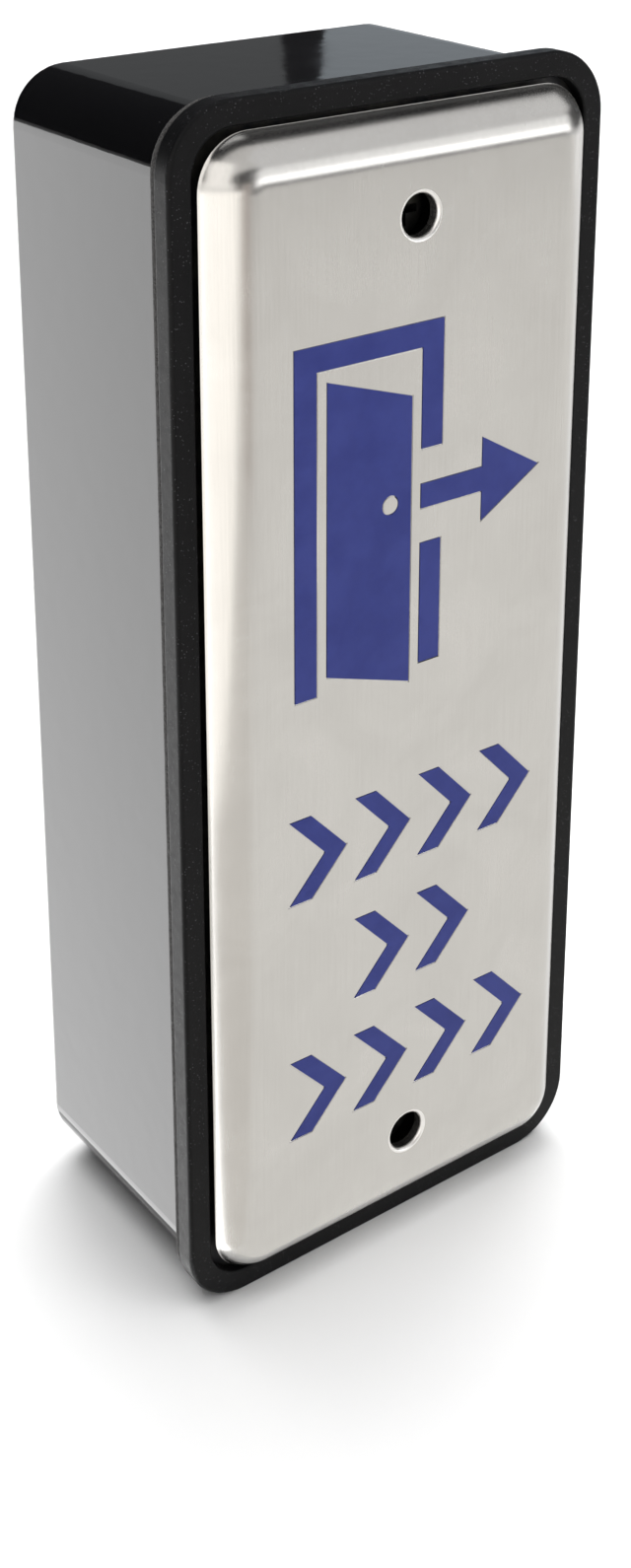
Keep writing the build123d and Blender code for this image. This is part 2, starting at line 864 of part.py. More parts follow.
NODES = {
    "surface_box": surface_box,
    "box_gasket": box_gasket,
    "bezel_frame": bezel_frame,
    "push_plate": push_plate,
    "plate_symbol": lambda: paint_solids(door_symbol()),
    "plate_legend": lambda: paint_solids(legend_marks()),
    "chassis_plate": chassis_plate,
    "chassis_screws": chassis_screws,
    "insert_nuts": insert_nuts,
    "guide_bushes": guide_bushes,
    "guide_pins": guide_pins,
    "retaining_clips": retaining_clips,
    "return_springs": return_springs,
    "press_stud": press_stud,
    "press_cap": press_cap,
    "switch_bracket": switch_bracket,
    "switch_case": switch_case,
    "switch_cover": switch_cover,
    "switch_button": switch_button,
    "switch_lever": switch_lever,
    "lever_pin": lever_pin,
    "moving_contact": moving_contact,
    "contact_common": contact_common,
    "contact_open": contact_open,
    "contact_closed": contact_closed,
    "switch_screws": switch_screws,
    "switch_nuts": switch_nuts,
    "terminal_block": terminal_block,
    "terminal_clamps": terminal_clamps,
    "terminal_screws": terminal_screws,
    "block_screw": block_screw,
    "lead_common": lambda: lead(common_u, -block_pitch / 2),
    "lead_open": lambda: lead(open_u, block_pitch / 2),
    "lead_sleeves": lead_sleeves,
    "cable_grommet": cable_grommet,
}


os.makedirs("parts", exist_ok=True)
for name, make in NODES.items():
    solids = [solid for shape in make() for solid in shape.solids()]
    export_step(Compound(children=solids), f"parts/{name}.step")
    print(name, len(solids))
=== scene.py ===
import json
from math import acos, cos, pi, radians, sin, sqrt, tau

import bmesh
import bpy
from mathutils import Matrix, Vector, noise


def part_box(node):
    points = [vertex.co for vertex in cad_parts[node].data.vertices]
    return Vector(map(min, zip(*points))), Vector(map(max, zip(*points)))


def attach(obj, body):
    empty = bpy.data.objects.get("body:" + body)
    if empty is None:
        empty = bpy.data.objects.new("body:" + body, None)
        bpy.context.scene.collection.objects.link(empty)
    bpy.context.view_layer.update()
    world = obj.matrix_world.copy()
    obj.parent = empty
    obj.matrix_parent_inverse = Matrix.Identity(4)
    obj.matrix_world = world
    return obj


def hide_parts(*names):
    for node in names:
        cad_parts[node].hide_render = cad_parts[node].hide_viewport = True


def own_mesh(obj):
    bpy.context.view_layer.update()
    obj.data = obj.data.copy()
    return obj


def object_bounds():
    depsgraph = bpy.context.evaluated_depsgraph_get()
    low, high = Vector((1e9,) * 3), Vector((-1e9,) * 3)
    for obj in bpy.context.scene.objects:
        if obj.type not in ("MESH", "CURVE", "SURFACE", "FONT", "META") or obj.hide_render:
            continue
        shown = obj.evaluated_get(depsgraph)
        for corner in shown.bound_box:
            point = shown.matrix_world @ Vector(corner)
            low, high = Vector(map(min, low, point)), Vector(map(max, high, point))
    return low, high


# The looks of a push plate switch in its surface box. Blender works in metres; sizes below are in mm.
# The wall face is the plane y = 0 and the front looks along -Y, so a depth d lies at y = -d.
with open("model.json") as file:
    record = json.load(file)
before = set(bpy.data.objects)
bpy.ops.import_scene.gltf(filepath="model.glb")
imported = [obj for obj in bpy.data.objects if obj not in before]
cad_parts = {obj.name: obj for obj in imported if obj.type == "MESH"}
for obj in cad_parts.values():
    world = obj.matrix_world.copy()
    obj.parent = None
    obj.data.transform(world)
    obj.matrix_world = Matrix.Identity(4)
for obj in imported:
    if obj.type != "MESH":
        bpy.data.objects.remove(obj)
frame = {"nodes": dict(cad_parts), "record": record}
cad_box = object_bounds()
nodes = frame["nodes"]
mm = 0.001

# Push plate
plate_sheet = 1.2
plate_roll = 5.0
plate_corner = 5.0
plate_edge_round = 0.12
flat_margin = 0.35
least_corner = 0.02
hole_dia = 4.0
hole_rim = 0.4
hole_spacing = 96.6
paint_margin = 0.12
cutter_reach = 1.0

# Gasket
gasket_corner = 6.2
gasket_opening_corner = 3.4
gasket_wall = 3.2
gasket_bulge = 0.22
gasket_lumps = 0.035
gasket_lump_scale = 1.1
gasket_lump_floor = 0.1
gasket_pitch = 0.7

# Return springs
spring_wire = 0.45
spring_dia = 6.4
spring_turns = 2.6
spring_dead_turn = 0.4
spring_ease = 0.35
pin_dia = 3.0

# Fineness of the meshes
corner_steps = 14
roll_steps = 26
turned_steps = 64
rim_steps = 6
bulge_steps = 8
wire_steps = 10
coil_steps = 110
weld_distance = 0.01


# ---------------------------------------------------------------- mesh helpers

def new_object(name, bm, material):
    """A mesh object from a bmesh, with outward faces, in the scene's collection."""
    bmesh.ops.recalc_face_normals(bm, faces=bm.faces)
    mesh = bpy.data.meshes.new(name)
    bm.to_mesh(mesh)
    bm.free()
    mesh.materials.append(material)
    piece = bpy.data.objects.new(name, mesh)
    bpy.context.scene.collection.objects.link(piece)
    return piece


def place_piece(piece, body, slot, *replaced):
    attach(piece, body)
    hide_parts(*replaced)


def smooth(piece, angle=32):
    """Smooth shading with creases over the angle, and flats that stay flat."""
    piece.data.shade_smooth()
    piece.data.set_sharp_from_angle(angle=radians(angle))
    weighted = piece.modifiers.new("flat faces stay flat", "WEIGHTED_NORMAL")
    weighted.keep_sharp = True


def apply_modifiers(piece):
    """Fixes the result of the piece's modifiers in its mesh."""
    graph = bpy.context.evaluated_depsgraph_get()
    mesh = bpy.data.meshes.new_from_object(piece.evaluated_get(graph))
    piece.modifiers.clear()
    piece.data = mesh


def cut(piece, cutter):
    """Takes a closed cutter out of a piece. The faces that it leaves keep the cutter's materials."""
    boolean = piece.modifiers.new("cut", "BOOLEAN")
    boolean.operation = "DIFFERENCE"
    boolean.solver = "EXACT"
    boolean.object = cutter
    boolean.material_mode = "TRANSFER"
    bpy.context.view_layer.update()
    apply_modifiers(piece)
    bpy.data.objects.remove(cutter)


def rounded_loop(half_x, half_z, corner, depth, side_steps=1):
    """Points round a rounded rectangle parallel to the wall, in metres. All arguments are in mm."""
    corner = max(corner, least_corner)
    turns = ((1, 1, 0), (-1, 1, 1), (-1, -1, 2), (1, -1, 3))
    points = []
    for side_x, side_z, quarter in turns:
        for step in range(corner_steps + 1):
            angle = (quarter + step / corner_steps) * pi / 2
            x = side_x * (half_x - corner) + corner * cos(angle)
            z = side_z * (half_z - corner) + corner * sin(angle)
            points.append(Vector((x, -depth, z)) * mm)
    if side_steps > 1:
        points = divide_sides(points, side_steps)
    return points


def divide_sides(points, side_steps):
    """Adds evenly spaced points along the four straight sides of a loop."""
    full = []
    for index, point in enumerate(points):
        full.append(point)
        if index % (corner_steps + 1) == corner_steps:
            following = points[(index + 1) % len(points)]
            for step in range(1, side_steps):
                full.append(point.lerp(following, step / side_steps))
    return full


def loft(loops, close=False):
    """A bmesh skin through loops of equal length: a closed ring when close is set, else capped."""
    bm = bmesh.new()
    rings = [[bm.verts.new(point) for point in loop] for loop in loops]
    pairs = list(zip(rings, rings[1:]))
    if close:
        pairs.append((rings[-1], rings[0]))
    for low, high in pairs:
        for index in range(len(low)):
            after = (index + 1) % len(low)
            bm.faces.new((low[index], low[after], high[after], high[index]))
    if not close:
        bm.faces.new(rings[0])
        bm.faces.new(rings[-1])
    return bm


def turned(profile, x, z):
    """A closed turned solid square to the wall, from (radius, depth) pairs in mm."""
    bm = bmesh.new()
    rings = []
    for radius, depth in profile:
        ring = []
        for step in range(turned_steps):
            angle = tau * step / turned_steps
            point = Vector((x + radius * cos(angle), -depth, z + radius * sin(angle)))
            ring.append(bm.verts.new(point * mm))
        rings.append(ring)
    for low, high in zip(rings, rings[1:]):
        for index in range(turned_steps):
            after = (index + 1) % turned_steps
            bm.faces.new((low[index], low[after], high[after], high[index]))
    bm.faces.new(rings[0])
    bm.faces.new(rings[-1])
    return bm


# ---------------------------------------------------------------- material helpers

def new_material(name):
    material = bpy.data.materials.new(name)
    material.use_nodes = True
    tree = material.node_tree
    shader = tree.nodes["Principled BSDF"]
    return material, tree, shader


def object_coordinates(tree, stretch=(1, 1, 1)):
    """Object coordinates in mm, stretched along the axes."""
    source = tree.nodes.new("ShaderNodeTexCoord")
    mapping = tree.nodes.new("ShaderNodeMapping")
    mapping.inputs["Scale"].default_value = [share / mm for share in stretch]
    tree.links.new(source.outputs["Object"], mapping.inputs["Vector"])
    return mapping.outputs["Vector"]


def noise_field(tree, coordinates, scale, detail=3.0, roughness=0.55, distortion=0.0):
    field = tree.nodes.new("ShaderNodeTexNoise")
    field.inputs["Scale"].default_value = scale
    field.inputs["Detail"].default_value = detail
    field.inputs["Roughness"].default_value = roughness
    field.inputs["Distortion"].default_value = distortion
    tree.links.new(coordinates, field.inputs["Vector"])
    return field.outputs["Fac"]


def spots(tree, coordinates, scale, size):
    """A mask that is one in small round spots, one spot to a cell."""
    cells = tree.nodes.new("ShaderNodeTexVoronoi")
    cells.inputs["Scale"].default_value = scale
    tree.links.new(coordinates, cells.inputs["Vector"])
    return spread(tree, cells.outputs["Distance"], size, size * 0.4, 0.0, 1.0)


def spread(tree, value, low, high, out_low, out_high):
    """Maps low..high to out_low..out_high, held at the ends."""
    span = tree.nodes.new("ShaderNodeMapRange")
    span.inputs["From Min"].default_value = low
    span.inputs["From Max"].default_value = high
    span.inputs["To Min"].default_value = out_low
    span.inputs["To Max"].default_value = out_high
    tree.links.new(value, span.inputs["Value"])
    return span.outputs["Result"]


def blend_colours(tree, mask, first, second):
    """Mixes two colours by a mask. Each is an RGB triple or another node's colour."""
    mix = tree.nodes.new("ShaderNodeMix")
    mix.data_type = "RGBA"
    tree.links.new(mask, mix.inputs["Factor"])
    for socket, colour in ((mix.inputs[6], first), (mix.inputs[7], second)):
        if isinstance(colour, tuple):
            socket.default_value = (*colour, 1.0)
        else:
            tree.links.new(colour, socket)
    return mix.outputs[2]


def calculate(tree, operation, first, second):
    """A Math node. Each operand is a number or a node's output."""
    step = tree.nodes.new("ShaderNodeMath")
    step.operation = operation
    for socket, operand in zip(step.inputs, (first, second)):
        if isinstance(operand, (int, float)):
            socket.default_value = operand
        else:
            tree.links.new(operand, socket)
    return step.outputs["Value"]


def bump(tree, shader, height, distance, after=None):
    """Adds relief of a height in mm to the shader, on top of an earlier bump."""
    relief = tree.nodes.new("ShaderNodeBump")
    relief.inputs["Distance"].default_value = distance * mm
    relief.inputs["Strength"].default_value = 1.0
    tree.links.new(height, relief.inputs["Height"])
    if after is not None:
        tree.links.new(after, relief.inputs["Normal"])
    tree.links.new(relief.outputs["Normal"], shader.inputs["Normal"])
    return relief.outputs["Normal"]


def moulded_plastic(name, dark, light):
    """Injection-moulded plastic: a faint cloud of colour, uneven gloss and a fine grain."""
    material, tree, shader = new_material(name)
    place = object_coordinates(tree)
    cloud = noise_field(tree, place, 0.18)
    colour = blend_colours(tree, spread(tree, cloud, 0.35, 0.65, 0.0, 1.0), dark, light)
    tree.links.new(colour, shader.inputs["Base Color"])
    gloss = spread(tree, noise_field(tree, place, 0.9, detail=5.0), 0.35, 0.65, 0.3, 0.4)
    tree.links.new(gloss, shader.inputs["Roughness"])
    bump(tree, shader, noise_field(tree, place, 9.0, detail=2.0), 0.004)
    return material


def plain_metal(name, dark, light, rough=(0.22, 0.36)):
    """Formed or turned metal: a mottled colour, uneven polish and a fine grain."""
    material, tree, shader = new_material(name)
    shader.inputs["Metallic"].default_value = 1.0
    place = object_coordinates(tree)
    cloud = noise_field(tree, place, 0.5, detail=4.0)
    colour = blend_colours(tree, spread(tree, cloud, 0.3, 0.7, 0.0, 1.0), dark, light)
    tree.links.new(colour, shader.inputs["Base Color"])
    polish = spread(tree, noise_field(tree, place, 1.3, detail=5.0), 0.3, 0.7, *rough)
    tree.links.new(polish, shader.inputs["Roughness"])
    bump(tree, shader, noise_field(tree, place, 8.0, detail=3.0), 0.003)
    return material


# ---------------------------------------------------------------- materials

def gloss_black_box():
    """The polished black ABS of the surface box, with a slight orange peel and a little dust."""
    material, tree, shader = new_material("box_gloss_abs")
    place = object_coordinates(tree)
    cloud = noise_field(tree, place, 0.06)
    colour = blend_colours(tree, cloud, (0.002, 0.002, 0.0024), (0.004, 0.004, 0.0045))
    dust = calculate(
        tree,
        "MULTIPLY",
        spots(tree, place, 0.8, 0.05),
        spread(tree, noise_field(tree, place, 0.21), 0.5, 0.7, 0.0, 0.35),
    )
    colour = blend_colours(tree, dust, colour, (0.4, 0.4, 0.41))
    tree.links.new(colour, shader.inputs["Base Color"])
    haze = spread(tree, noise_field(tree, place, 0.12, detail=6.0), 0.35, 0.7, 0.04, 0.08)
    tree.links.new(haze, shader.inputs["Roughness"])
    shader.inputs["IOR"].default_value = 1.53
    peel = bump(tree, shader, noise_field(tree, place, 0.35, detail=1.0), 0.012)
    bump(tree, shader, noise_field(tree, place, 6.0, detail=2.0), 0.0008, after=peel)
    return material


def satin_black_bezel():
    """The bezel's spark-eroded satin ABS, grainy on its sides."""
    material, tree, shader = new_material("bezel_satin_abs")
    place = object_coordinates(tree)
    cloud = noise_field(tree, place, 0.15)
    colour = blend_colours(tree, cloud, (0.003, 0.003, 0.0035), (0.007, 0.007, 0.0075))
    specks = calculate(
        tree,
        "MULTIPLY",
        spots(tree, place, 3.2, 0.2),
        spread(tree, noise_field(tree, place, 0.7), 0.42, 0.6, 0.0, 0.6),
    )
    colour = blend_colours(tree, specks, colour, (0.16, 0.16, 0.17))
    tree.links.new(colour, shader.inputs["Base Color"])
    satin = spread(tree, noise_field(tree, place, 1.1, detail=5.0), 0.35, 0.65, 0.32, 0.44)
    shader.inputs["Specular IOR Level"].default_value = 0.10
    tree.links.new(satin, shader.inputs["Roughness"])
    bump(tree, shader, noise_field(tree, place, 5.0, detail=4.0, roughness=0.7), 0.022)
    return material


def gasket_foam():
    """Closed-cell EPDM foam with cut cells on its edge."""
    material, tree, shader = new_material("gasket_foam_epdm")
    place = object_coordinates(tree)
    cells = tree.nodes.new("ShaderNodeTexVoronoi")
    cells.inputs["Scale"].default_value = 4.5
    tree.links.new(place, cells.inputs["Vector"])
    pores = spread(tree, cells.outputs["Distance"], 0.1, 0.6, 0.0, 1.0)
    colour = blend_colours(tree, pores, (0.012, 0.012, 0.012), (0.042, 0.040, 0.039))
    tree.links.new(colour, shader.inputs["Base Color"])
    dull = spread(tree, noise_field(tree, place, 2.0), 0.3, 0.7, 0.75, 0.95)
    tree.links.new(dull, shader.inputs["Roughness"])
    bump(tree, shader, pores, 0.06)
    return material


def across_the_brush(tree):
    """The level direction along the surface, square to the upright brush lines."""
    surface = tree.nodes.new("ShaderNodeNewGeometry")
    level = tree.nodes.new("ShaderNodeVectorMath")
    level.operation = "CROSS_PRODUCT"
    level.inputs[1].default_value = (0.0, 0.0, 1.0)
    tree.links.new(surface.outputs["Normal"], level.inputs[0])
    return level.outputs["Vector"]


def brushed_stainless():
    """Stainless sheet brushed upright, faintly mottled, with a few longer scratches."""
    material, tree, shader = new_material("plate_brushed_stainless")
    shader.inputs["Metallic"].default_value = 1.0
    place = object_coordinates(tree)
    mottle = noise_field(tree, place, 0.09, detail=6.0, roughness=0.6, distortion=0.6)
    colour = blend_colours(
        tree, spread(tree, mottle, 0.32, 0.68, 0.0, 1.0), (0.575, 0.563, 0.545), (0.63, 0.618, 0.600)
    )
    streaks = noise_field(tree, object_coordinates(tree, (1, 1, 0.02)), 5.0, detail=4.0, roughness=0.7)
    shade = spread(tree, streaks, 0.3, 0.7, 0.0, 0.16)
    colour = blend_colours(tree, shade, colour, (0.48, 0.47, 0.455))
    tree.links.new(colour, shader.inputs["Base Color"])
    half_mottle = calculate(tree, "MULTIPLY", mottle, 0.5)
    half_streaks = calculate(tree, "MULTIPLY", streaks, 0.5)
    uneven = calculate(tree, "ADD", half_mottle, half_streaks)
    polish = spread(tree, uneven, 0.35, 0.65, 0.20, 0.29)
    tree.links.new(polish, shader.inputs["Roughness"])
    shader.inputs["Anisotropic"].default_value = 0.6
    tree.links.new(across_the_brush(tree), shader.inputs["Tangent"])
    fine = noise_field(tree, object_coordinates(tree, (1, 1, 0.012)), 14.0, detail=3.0, roughness=0.75)
    lines = bump(tree, shader, fine, 0.0010)
    scratch_field = noise_field(tree, object_coordinates(tree, (1, 1, 0.04)), 1.7, detail=1.0)
    scratch = spread(tree, scratch_field, 0.66, 0.70, 0.0, -1.0)
    bump(tree, shader, scratch, 0.0006, after=lines)
    return material


def rim_with_painted_highlight():
    """Stainless where the drill has rounded it: softer than the brushed face, and brighter, which is a
    painted highlight round the hole.
    """
    material, tree, shader = new_material("plate_burnished_edge")
    shader.inputs["Metallic"].default_value = 1.0
    place = object_coordinates(tree)
    # Painted highlight: the rim's colour is far brighter than the brushed face's.
    colour = blend_colours(tree, noise_field(tree, place, 0.9), (0.80, 0.79, 0.77), (0.90, 0.89, 0.88))
    tree.links.new(colour, shader.inputs["Base Color"])
    soft = spread(tree, noise_field(tree, place, 3.0), 0.3, 0.7, 0.30, 0.45)
    tree.links.new(soft, shader.inputs["Roughness"])
    bump(tree, shader, noise_field(tree, place, 12.0), 0.002)
    return material


def screened_blue():
    """Blue enamel filled into the plate's shallow pockets."""
    material, tree, shader = new_material("plate_blue_enamel")
    place = object_coordinates(tree)
    cloud = noise_field(tree, place, 0.3, detail=4.0)
    colour = blend_colours(
        tree, spread(tree, cloud, 0.35, 0.65, 0.0, 1.0), (0.022, 0.032, 0.185), (0.030, 0.042, 0.215)
    )
    tree.links.new(colour, shader.inputs["Base Color"])
    gloss = spread(tree, noise_field(tree, place, 1.6, detail=4.0), 0.35, 0.65, 0.28, 0.40)
    tree.links.new(gloss, shader.inputs["Roughness"])
    shader.inputs["Specular IOR Level"].default_value = 0.18
    bump(tree, shader, noise_field(tree, place, 2.6, detail=2.0), 0.006)
    return material


def black_zinc_steel():
    """Black passivated zinc plate, with its spangle and thin greenish places."""
    material, tree, shader = new_material("black_zinc_steel")
    shader.inputs["Metallic"].default_value = 0.85
    place = object_coordinates(tree)
    cells = tree.nodes.new("ShaderNodeTexVoronoi")
    cells.inputs["Scale"].default_value = 0.8
    tree.links.new(place, cells.inputs["Vector"])
    thin = noise_field(tree, place, 0.35, detail=4.0)
    colour = blend_colours(
        tree, spread(tree, thin, 0.4, 0.7, 0.0, 1.0), (0.022, 0.022, 0.025), (0.060, 0.058, 0.050)
    )
    tree.links.new(colour, shader.inputs["Base Color"])
    polish = spread(tree, cells.outputs["Color"], 0.0, 1.0, 0.34, 0.50)
    tree.links.new(polish, shader.inputs["Roughness"])
    bump(tree, shader, noise_field(tree, place, 5.0, detail=4.0), 0.003)
    return material


def soft_rubber(name, dark, light):
    """Moulded rubber with a dusty bloom."""
    material, tree, shader = new_material(name)
    place = object_coordinates(tree)
    bloom = noise_field(tree, place, 0.5, detail=5.0)
    colour = blend_colours(tree, spread(tree, bloom, 0.4, 0.7, 0.0, 1.0), dark, light)
    tree.links.new(colour, shader.inputs["Base Color"])
    dull = spread(tree, noise_field(tree, place, 1.4), 0.3, 0.7, 0.55, 0.75)
    tree.links.new(dull, shader.inputs["Roughness"])
    bump(tree, shader, noise_field(tree, place, 7.0, detail=3.0), 0.008)
    return material


def waxy_acetal():
    """Natural acetal, slightly see-through under its surface."""
    material, tree, shader = new_material("natural_acetal")
    place = object_coordinates(tree)
    cloud = noise_field(tree, place, 0.6)
    colour = blend_colours(tree, cloud, (0.72, 0.71, 0.67), (0.80, 0.79, 0.75))
    tree.links.new(colour, shader.inputs["Base Color"])
    shader.inputs["Subsurface Weight"].default_value = 0.15
    shader.inputs["Subsurface Radius"].default_value = (0.0012, 0.0010, 0.0008)
    shader.inputs["Subsurface Scale"].default_value = 0.5
    gloss = spread(tree, noise_field(tree, place, 1.8), 0.3, 0.7, 0.3, 0.42)
    tree.links.new(gloss, shader.inputs["Roughness"])
    bump(tree, shader, noise_field(tree, place, 6.0), 0.003)
    return material


def slot_materials():
    """One finish for each material slot of the record."""
    return {
        "box_abs": gloss_black_box(),
        "foam": gasket_foam(),
        "bezel_abs": satin_black_bezel(),
        "stainless": brushed_stainless(),
        "blue_paint": screened_blue(),
        "zinc_steel": black_zinc_steel(),
        "bright_steel": plain_metal("turned_bright_steel", (0.52, 0.52, 0.53), (0.62, 0.62, 0.62)),
        "spring_steel": plain_metal(
            "hardened_spring_steel", (0.36, 0.35, 0.34), (0.50, 0.49, 0.47), rough=(0.24, 0.40)
        ),
        "brass": plain_metal("turned_brass", (0.70, 0.47, 0.17), (0.82, 0.60, 0.26)),
        "copper_alloy": plain_metal("rolled_copper_alloy", (0.72, 0.40, 0.24), (0.82, 0.50, 0.32)),
        "acetal": waxy_acetal(),
        "switch_plastic": moulded_plastic("switch_phenolic", (0.016, 0.015, 0.014), (0.030, 0.028, 0.026)),
        "button_plastic": moulded_plastic("button_red_nylon", (0.42, 0.020, 0.016), (0.52, 0.034, 0.026)),
        "block_plastic": moulded_plastic("block_grey_nylon", (0.36, 0.37, 0.38), (0.46, 0.47, 0.48)),
        "black_lead": moulded_plastic("lead_black_pvc", (0.012, 0.012, 0.013), (0.024, 0.024, 0.025)),
        "red_lead": moulded_plastic("lead_red_pvc", (0.40, 0.018, 0.016), (0.52, 0.030, 0.024)),
        "sleeve_black": soft_rubber("sleeve_shrink_tube", (0.012, 0.012, 0.012), (0.026, 0.026, 0.026)),
        "grommet_rubber": soft_rubber("grommet_epdm", (0.013, 0.013, 0.013), (0.040, 0.039, 0.038)),
    }


def node_slots():
    """The record's material slot of each CAD node."""
    return {part["node"]: part["material_slot"] for part in frame["record"]["subparts"]}


def finish_cad_nodes(materials, slots):
    for name, node in nodes.items():
        node.data.materials.clear()
        node.data.materials.append(materials[slots[name]])


# ---------------------------------------------------------------- pieces

def roll_loops(half_x, half_z, front, radius, reach, steps):
    """Loops down a rolled edge, from the flat face to the angle at which the roll is cut off."""
    loops = []
    for step in range(steps + 1):
        angle = reach * step / steps
        inset = roll_run() - radius * sin(angle)
        depth = front - radius + radius * cos(angle)
        loops.append(rounded_loop(half_x - inset, half_z - inset, plate_corner - inset, depth))
    return loops


def roll_run():
    """How far in from the cut edge the plate's flat begins."""
    proud = plate_front - plate_edge
    return sqrt(plate_roll ** 2 - (plate_roll - proud) ** 2)


def plate_skin():
    """The plate before it is pierced: a shallow tray of sheet with a rolled, cut-off edge."""
    low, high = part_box("push_plate")
    half_x, half_z = (high.x - low.x) / 2 / mm, (high.z - low.z) / 2 / mm
    centre_depth = plate_front - plate_roll
    inner_roll = plate_roll - plate_sheet
    outer_reach = acos((plate_edge - centre_depth) / plate_roll)
    inner_reach = acos((plate_edge - centre_depth) / inner_roll)
    run = roll_run()
    flat_inset = run + flat_margin
    loops = [rounded_loop(half_x - flat_inset, half_z - flat_inset, 0, plate_front)]
    loops += roll_loops(half_x, half_z, plate_front, plate_roll, outer_reach, roll_steps)
    lip_inset = run - inner_roll * sin(inner_reach)
    for inset in (plate_edge_round, lip_inset - plate_edge_round):
        loops.append(rounded_loop(half_x - inset, half_z - inset, plate_corner - inset, plate_edge))
    loops[-3] = rounded_loop(half_x, half_z, plate_corner, plate_edge + plate_edge_round)
    inner = roll_loops(half_x, half_z, plate_front - plate_sheet, inner_roll, inner_reach, roll_steps // 2)
    loops += reversed(inner)
    loops.append(rounded_loop(half_x - flat_inset, half_z - flat_inset, 0, plate_front - plate_sheet))
    return loft(loops)


def access_cutter(z):
    """A drill for one access hole, with a dished rim."""
    radius = hole_dia / 2
    profile = [(radius, plate_front - plate_sheet - cutter_reach), (radius, plate_front - hole_rim)]
    for step in range(1, rim_steps + 1):
        angle = pi / 2 * step / rim_steps
        profile.append((radius + hole_rim * (1 - cos(angle)), plate_front - hole_rim * (1 - sin(angle))))
    profile.append((radius + hole_rim, plate_front + cutter_reach))
    return turned(profile, 0, z)


def paint_rim_highlight(drill, rim_highlight_finish):
    """Gives the dished rim that the drill leaves its own finish, whose brighter colour is a painted
    highlight.
    """
    drill.data.materials.append(rim_highlight_finish)
    # The rim faces get the material with the painted highlight.
    for face in drill.data.polygons:
        depth = -face.center.y / mm
        if plate_front - hole_rim < depth < plate_front:
            face.material_index = 1


def pocket_cutter(name):
    """The pocket for one painted graphic: its outline grown by the margin, down to the paint's back."""
    low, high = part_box(name)
    middle = (low.y + high.y) / 2
    bm = bmesh.new()
    bm.from_mesh(nodes[name].data)
    bmesh.ops.remove_doubles(bm, verts=bm.verts, dist=weld_distance * mm)
    bm.normal_update()
    moves = {}
    for vert in bm.verts:
        sides = [face.normal for face in vert.link_faces if abs(face.normal.y) < 0.5]
        first = sides[0]
        second = min(sides, key=lambda normal: normal.dot(first))
        moves[vert] = (first + second) * (paint_margin * mm / (1 + first.dot(second)))
    for vert, move in moves.items():
        vert.co += move
        if vert.co.y < middle:
            vert.co.y = low.y - cutter_reach * mm
    return bm


def push_plate(material):
    piece = new_object("push_plate_steel", plate_skin(), material)
    rim_highlight_finish = rim_with_painted_highlight()
    for side in (-1, 1):
        drill = new_object("drill", access_cutter(side * hole_spacing / 2), material)
        paint_rim_highlight(drill, rim_highlight_finish)
        cut(piece, drill)
    for name in ("plate_symbol", "plate_legend"):
        cut(piece, new_object("cutter", pocket_cutter(name), material))
    smooth(piece)
    place_piece(piece, "plate", "stainless", "push_plate")


def foam_gasket(material):
    """The squeezed foam strip between box and bezel, bulging a little all round."""
    low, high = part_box("box_gasket")
    half_x, half_z = (high.x - low.x) / 2 / mm, (high.z - low.z) / 2 / mm
    near, far = -high.y / mm, -low.y / mm
    thick = far - near
    side_steps = round(2 * half_z / gasket_pitch)
    loops = []
    for step in range(bulge_steps + 1):
        share = step / bulge_steps
        inset = gasket_bulge * (2 * share - 1) ** 2
        depth = near + thick * share
        loops.append(rounded_loop(half_x - inset, half_z - inset, gasket_corner - inset, depth, side_steps))
    for depth in (far, near):
        inner = (half_x - gasket_wall, half_z - gasket_wall, gasket_opening_corner)
        loops.append(rounded_loop(*inner, depth, side_steps))
    for loop in loops[1:bulge_steps]:
        for point in loop:
            outward = Vector((point.x, 0, point.z)).normalized()
            lump = min(0.0, noise.noise(point / mm * gasket_lump_scale) - gasket_lump_floor)
            point += outward * (lump * gasket_lumps * mm)
    piece = new_object("box_gasket_foam", loft(loops, close=True), material)
    smooth(piece, 50)
    place_piece(piece, "housing", "foam", "box_gasket")


def spring_line(low, high):
    """Heights and angles of a coil whose end turns lie nearly flat."""
    places = []
    for step in range(coil_steps + 1):
        turn = spring_turns * step / coil_steps
        share = (turn - spring_dead_turn) / (spring_turns - 2 * spring_dead_turn)
        share = min(max(share, 0.0), 1.0)
        eased = share * share * (3 - 2 * share)
        rise = eased * spring_ease + share * (1 - spring_ease)
        places.append((low + (high - low) * rise, tau * turn))
    return places


def coil(x, z, low, high):
    """One coil spring of round wire, square to the wall."""
    bm = bmesh.new()
    radius = (spring_dia - spring_wire) / 2
    places = spring_line(low + spring_wire / 2, high - spring_wire / 2)
    rings = []
    for depth, angle in places:
        outward = Vector((cos(angle), 0, sin(angle)))
        centre = Vector((x, -depth, z)) + outward * radius
        ring = []
        for step in range(wire_steps):
            turn = tau * step / wire_steps
            offset = (outward * cos(turn) + Vector((0, 1, 0)) * sin(turn)) * spring_wire / 2
            ring.append(bm.verts.new((centre + offset) * mm))
        rings.append(ring)
    for first, second in zip(rings, rings[1:]):
        for index in range(wire_steps):
            after = (index + 1) % wire_steps
            bm.faces.new((first[index], first[after], second[after], second[index]))
    bm.faces.new(rings[0])
    bm.faces.new(rings[-1])
    return bm


